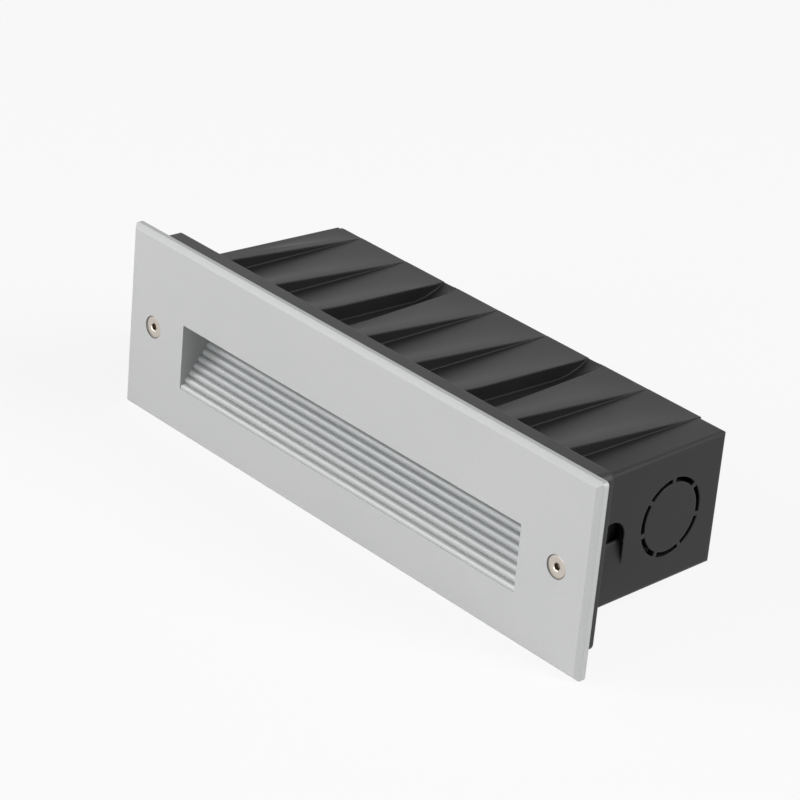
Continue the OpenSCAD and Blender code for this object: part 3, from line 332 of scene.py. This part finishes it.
def light_chips():
    """White ceramic chips whose middle, 2.1 mm square, is filled with yellow phosphor in clear silicone."""
    material, tree, place = new_material("light_chips")
    parts = add_node(tree, "ShaderNodeSeparateXYZ", sockets={"Vector": place})
    turned_in = add_node(tree, "ShaderNodeMath", {"operation": "PINGPONG"}, {
        0: parts.outputs["X"], 1: CHIP_PITCH / 2}).outputs[0]
    off_x = add_node(tree, "ShaderNodeMath", {"operation": "SUBTRACT"}, {
        0: CHIP_PITCH / 2, 1: turned_in}).outputs[0]
    off_y = add_node(tree, "ShaderNodeMath", {"operation": "SUBTRACT"}, {
        0: parts.outputs["Y"], 1: CHIP_MIDDLE_Y}).outputs[0]
    far_y = add_node(tree, "ShaderNodeMath", {"operation": "ABSOLUTE"}, {0: off_y}).outputs[0]
    far = add_node(tree, "ShaderNodeMath", {"operation": "MAXIMUM"}, {0: off_x, 1: far_y}).outputs[0]
    rim = add_node(tree, "ShaderNodeMapRange", sockets={
        "Value": far, "From Min": PHOSPHOR_HALF, "From Max": PHOSPHOR_HALF + 0.1 * MM}).outputs["Result"]
    grains = add_node(tree, "ShaderNodeTexNoise", sockets={
        "Vector": place, "Scale": per_size(0.15), "Detail": 2.0}).outputs["Fac"]
    phosphor = add_node(tree, "ShaderNodeMix", {"data_type": "RGBA"}, {
        "Factor": grains, "A": linear("#d9b92f"), "B": linear("#f0d862")})
    base = add_node(tree, "ShaderNodeMix", {"data_type": "RGBA"}, {
        "Factor": rim, "A": phosphor.outputs["Result"], "B": linear("#eceae4")})
    finish_surface(tree, {"Base Color": base.outputs["Result"], "Roughness": 0.35}, rim, 0.05, 0.1)
    return material


EVEN = (1.0, 1.0, 1.0)
ALONG_X = (0.02, 1.0, 1.0)

finishes = {
    "box_plastic": moulded_black_plastic(),
    "plate_paint": silver_powder_coat(),
    "stainless": turned_stainless(),
    "foam": closed_cell_foam(),
    "housing_plastic": glass_filled_nylon(),
    "seal_rubber": moulded_skin("silicone_rubber", "#434344", "#5c5c5d", 0.75),
    "screw_steel": worked_metal("zinc_plated_steel", "#adb0b5", "#dadde0", 0.25, 0.4, 0.3, EVEN),
    "brass": worked_metal("turned_brass", "#a38143", "#d4b26a", 0.25, 0.35, 0.2, EVEN),
    "clear_cover": clear_cover(),
    "carrier_metal": worked_metal("extruded_aluminium", "#aeb0b1", "#d8dadb", 0.3, 0.45, 0.3, ALONG_X),
    "board_white": moulded_skin("white_solder_mask", "#e4e4de", "#f3f3ed", 0.35),
    "chip_yellow": light_chips(),
    "driver_plastic": moulded_skin("white_polycarbonate", "#dadad6", "#ebebe7", 0.45),
    "block_nylon": moulded_skin("natural_nylon", "#e0ded2", "#efede2", 0.5),
    "lead_brown": moulded_skin("brown_insulation", "#452715", "#5c3622", 0.35),
    "lead_red": moulded_skin("red_insulation", "#921919", "#ae2929", 0.35),
    "lead_green": moulded_skin("green_insulation", "#3a8835", "#50a64b", 0.35),
}

for row in frame["record"]["subparts"]:
    slots = nodes[row["node"]].data.materials
    slots.clear()
    slots.append(finishes[row["material_slot"]])

# Soft shading across the small facets of the ribs, sharp at every true edge

RIB_FACET_ANGLE = math.radians(26)


def smooth_small_angles(piece, angle):
    """Joins the facets of a CAD node and shades them as one surface where they meet below the angle."""
    weld = piece.modifiers.new("join_facets", "WELD")
    weld.merge_threshold = 0.002 * MM
    tree = bpy.data.node_groups.new("shade_by_angle", "GeometryNodeTree")
    tree.interface.new_socket("Mesh", in_out="INPUT", socket_type="NodeSocketGeometry")
    tree.interface.new_socket("Mesh", in_out="OUTPUT", socket_type="NodeSocketGeometry")
    start = add_node(tree, "NodeGroupInput").outputs[0]
    plain = add_node(tree, "GeometryNodeRemoveAttribute", sockets={
        "Geometry": start, "Name": "custom_normal"})
    steep = add_node(tree, "FunctionNodeCompare", {"operation": "GREATER_THAN"}, {
        0: add_node(tree, "GeometryNodeInputMeshEdgeAngle").outputs["Unsigned Angle"], 1: angle})
    smooth = add_node(tree, "GeometryNodeSetShadeSmooth", {"domain": "FACE"}, {
        "Geometry": plain.outputs["Geometry"], "Shade Smooth": True})
    level = add_node(tree, "FunctionNodeBooleanMath", {"operation": "NOT"}, {0: steep.outputs["Result"]})
    edges = add_node(tree, "GeometryNodeSetShadeSmooth", {"domain": "EDGE"}, {
        "Geometry": smooth.outputs["Geometry"], "Shade Smooth": level.outputs[0]})
    add_node(tree, "NodeGroupOutput", sockets={0: edges.outputs["Geometry"]})
    piece.modifiers.new("shade_by_angle", "NODES").node_group = tree


smooth_small_angles(nodes["installation_box"], RIB_FACET_ANGLE)

# Faceplate screws, with a chamfered hexagon socket, a rounded rim and a real helical thread

TURN_STEPS = 48
THREAD_STEPS = 10
RIM_STEPS = 4

# Shares of the pitch: from the middle of the crest to the root, and the width of a flank

ROOT_SHARE = 0.40625
FLANK_SHARE = 0.3125


def round_ring(radius, depth):
    """A ring of points round the axis of a screw, so deep behind the face of its head."""
    angles = [math.tau * i / TURN_STEPS for i in range(TURN_STEPS)]
    return [(radius * math.sin(a), depth, radius * math.cos(a)) for a in angles]


def hexagon_ring(flats, depth):
    """The same number of points on a hexagon."""
    ring = []
    for i in range(TURN_STEPS):
        a = math.tau * i / TURN_STEPS
        off_flat = (a + math.pi / 6) % (math.pi / 3) - math.pi / 6
        radius = flats / 2 / math.cos(off_flat)
        ring.append((radius * math.sin(a), depth, radius * math.cos(a)))
    return ring


def thread_ring(depth):
    """A ring of points on the thread: the crest climbs by one pitch as the angle makes one turn."""
    ring = []
    for i in range(TURN_STEPS):
        a = math.tau * i / TURN_STEPS
        off_crest = abs((depth / THREAD_PITCH - i / TURN_STEPS) % 1.0 - 0.5)
        crest = min(1.0, max(0.0, (ROOT_SHARE - off_crest) / FLANK_SHARE))
        radius = SCREW_ROOT_RADIUS + (SCREW_CREST_RADIUS - SCREW_ROOT_RADIUS) * crest
        ring.append((radius * math.sin(a), depth, radius * math.cos(a)))
    return ring


def screw_rings():
    """All rings of a screw, from the bottom of the socket to the tip.

    The rim is rounded inside the cone of the head, so that the dark gap round the head shows.
    """
    rim = 0.13 * MM
    rim_middle = SCREW_HEAD_RADIUS - rim * (1 + math.sqrt(2))
    chamfer = 0.15 * MM
    run_out = 0.5 * MM
    cone = SCREW_HEAD_RADIUS - SCREW_CREST_RADIUS
    socket = [
        hexagon_ring(SOCKET_FLATS * 0.2, SOCKET_DEPTH + 0.35 * MM),
        hexagon_ring(SOCKET_FLATS * 0.96, SOCKET_DEPTH),
        hexagon_ring(SOCKET_FLATS, SOCKET_DEPTH - 0.05 * MM),
        hexagon_ring(SOCKET_FLATS, chamfer),
    ]
    mouth = SOCKET_FLATS / math.sqrt(3) + chamfer
    head = [round_ring(mouth, 0.0)]
    head += [round_ring(mouth + (rim_middle - mouth) * t, 0.0) for t in (0.5, 1.0)]
    for step in range(1, RIM_STEPS + 1):
        a = math.radians(135) * step / RIM_STEPS
        head.append(round_ring(rim_middle + rim * math.sin(a), rim * (1 - math.cos(a))))
    head.append(round_ring(SCREW_CREST_RADIUS, cone))
    start = cone + run_out
    stop = SCREW_LENGTH - run_out
    count = round((stop - start) / THREAD_PITCH * THREAD_STEPS)
    shank = [round_ring(SCREW_CREST_RADIUS, start - 0.2 * MM)]
    shank += [thread_ring(start + (stop - start) * i / count) for i in range(count + 1)]
    tip = [
        round_ring(SCREW_ROOT_RADIUS, SCREW_LENGTH - 0.2 * MM),
        round_ring(SCREW_ROOT_RADIUS * 0.85, SCREW_LENGTH),
    ]
    return socket, head + shank + tip


def countersunk_screw(name, middle_x, body):
    """One faceplate screw as a single closed skin of rings."""
    socket, rest = screw_rings()
    rings = socket + rest
    mesh = bmesh.new()
    rows = [[mesh.verts.new((middle_x + x, SCREW_FACE_Y + y, z)) for x, y, z in ring] for ring in rings]
    for k in range(len(rows) - 1):
        for i in range(TURN_STEPS):
            j = (i + 1) % TURN_STEPS
            face = mesh.faces.new((rows[k][i], rows[k][j], rows[k + 1][j], rows[k + 1][i]))
            face.material_index = 1 if k < len(socket) - 1 else 0
            face.smooth = k >= len(socket)
    for row, slot in ((rows[0], 1), (rows[-1], 0)):
        mesh.faces.new(row).material_index = slot
    bmesh.ops.recalc_face_normals(mesh, faces=mesh.faces)
    data = bpy.data.meshes.new(name)
    mesh.to_mesh(data)
    mesh.free()
    data.materials.append(finishes["stainless"])
    data.materials.append(dark_socket)
    screw = bpy.data.objects.new(name, data)
    bpy.context.scene.collection.objects.link(screw)
    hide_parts(body)
    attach(screw, body)
    return screw


dark_socket = brown_socket_inside()
countersunk_screw("threaded_screw_left", -SCREW_X, "screw_left")
countersunk_screw("threaded_screw_right", SCREW_X, "screw_right")

# Floor


def flat_sheet(name, half_width, height):
    """A level square round the origin."""
    mesh = bpy.data.meshes.new(name)
    h = half_width
    corners = [(-h, -h, height), (h, -h, height), (h, h, height), (-h, h, height)]
    mesh.from_pydata(corners, [], [(0, 1, 2, 3)])
    sheet = bpy.data.objects.new(name, mesh)
    bpy.context.scene.collection.objects.link(sheet)
    return sheet


def camera_mirror_or_glass(tree):
    """One for a ray from the camera, off a mirror or through glass, zero for any other."""
    rays = add_node(tree, "ShaderNodeLightPath")
    through = add_node(tree, "ShaderNodeMath", {"operation": "MAXIMUM"}, {
        0: rays.outputs["Is Glossy Ray"], 1: rays.outputs["Is Transmission Ray"]})
    return add_node(tree, "ShaderNodeMath", {"operation": "MAXIMUM"}, {
        0: rays.outputs["Is Camera Ray"], 1: through.outputs[0]}).outputs[0]


def pale_floor():
    """Matt white card that the camera, mirrors and glass see as nearly plain white, with the object's shadow."""
    material, tree, place = new_material("pale_floor")
    seen = camera_mirror_or_glass(tree)
    lit = add_node(tree, "ShaderNodeBsdfDiffuse", sockets={"Color": linear("#f2f2f2")})
    white = add_node(tree, "ShaderNodeEmission", sockets={"Color": [1, 1, 1, 1], "Strength": 1.0})
    share = add_node(tree, "ShaderNodeMath", {"operation": "MULTIPLY"}, {0: seen, 1: WHITE_SHARE})
    mixed = add_node(tree, "ShaderNodeMixShader", sockets={
        "Fac": share.outputs[0], 1: lit.outputs["BSDF"], 2: white.outputs["Emission"]})
    add_node(tree, "ShaderNodeOutputMaterial", sockets={"Surface": mixed.outputs["Shader"]})
    return material


floor = flat_sheet("floor", FLOOR_HALF_WIDTH, cad_box[0].z - FLOOR_GAP)
floor.data.materials.append(pale_floor())

# World: white to the camera, to mirrors and to glass, nearly dark to everything else

world = bpy.data.worlds.new("studio")
world.use_nodes = True
bpy.context.scene.world = world
tree = world.node_tree
tree.nodes.clear()
seen = camera_mirror_or_glass(tree)
room = add_node(tree, "ShaderNodeBackground", sockets={
    "Color": linear("#f4f6f8"), "Strength": ROOM_STRENGTH})
white = add_node(tree, "ShaderNodeBackground", sockets={"Color": [1, 1, 1, 1], "Strength": 1.0})
mixed = add_node(tree, "ShaderNodeMixShader", sockets={
    "Fac": seen, 1: room.outputs["Background"], 2: white.outputs["Background"]})
add_node(tree, "ShaderNodeOutputWorld", sockets={"Surface": mixed.outputs["Shader"]})

# Lamps: solved for the brightness of the photo, then adjusted


def soft_box(name, turn, height, power):
    """A square lamp that faces the object; turn is in degrees from the front, positive to the right."""
    a = math.radians(turn)
    e = math.radians(height)
    place = Vector((math.sin(a) * math.cos(e), -math.cos(a) * math.cos(e), math.sin(e))) * LAMP_DISTANCE
    data = bpy.data.lights.new(name, "AREA")
    data.shape = "SQUARE"
    data.size = LAMP_SIDE
    data.energy = power
    lamp = bpy.data.objects.new(name, data)
    lamp.location = place
    lamp.rotation_euler = (-place).to_track_quat("-Z", "Y").to_euler()
    bpy.context.scene.collection.objects.link(lamp)
    return lamp


soft_box("key", -42, 26, 26)
soft_box("front_fill", 0, 8, 31)
soft_box("rim", 112, 32, 48)

# Camera, from the fit of the photograph's straight edges

FOCAL_PIXELS = 3131.7
PICTURE_PIXELS = 800
SENSOR_MM = 36.0
CAMERA_PLACE = (0.7059, -0.6467, 0.4734)
CAMERA_RIGHT = Vector((0.656004, 0.750182, 0.082980))
CAMERA_UP = Vector((-0.375142, 0.228682, 0.898317))

camera_data = bpy.data.cameras.new("camera")
camera_data.sensor_width = SENSOR_MM
camera_data.lens = FOCAL_PIXELS * SENSOR_MM / PICTURE_PIXELS
camera_data.clip_start = 0.05
camera_data.clip_end = 20.0
camera = bpy.data.objects.new("camera", camera_data)
bpy.context.scene.collection.objects.link(camera)
towards = CAMERA_RIGHT.cross(CAMERA_UP)
turned = Matrix((CAMERA_RIGHT, CAMERA_UP, towards)).transposed().to_4x4()
camera.matrix_world = Matrix.Translation(CAMERA_PLACE) @ turned
bpy.context.scene.camera = camera
bpy.context.scene.view_settings.view_transform = "Standard"
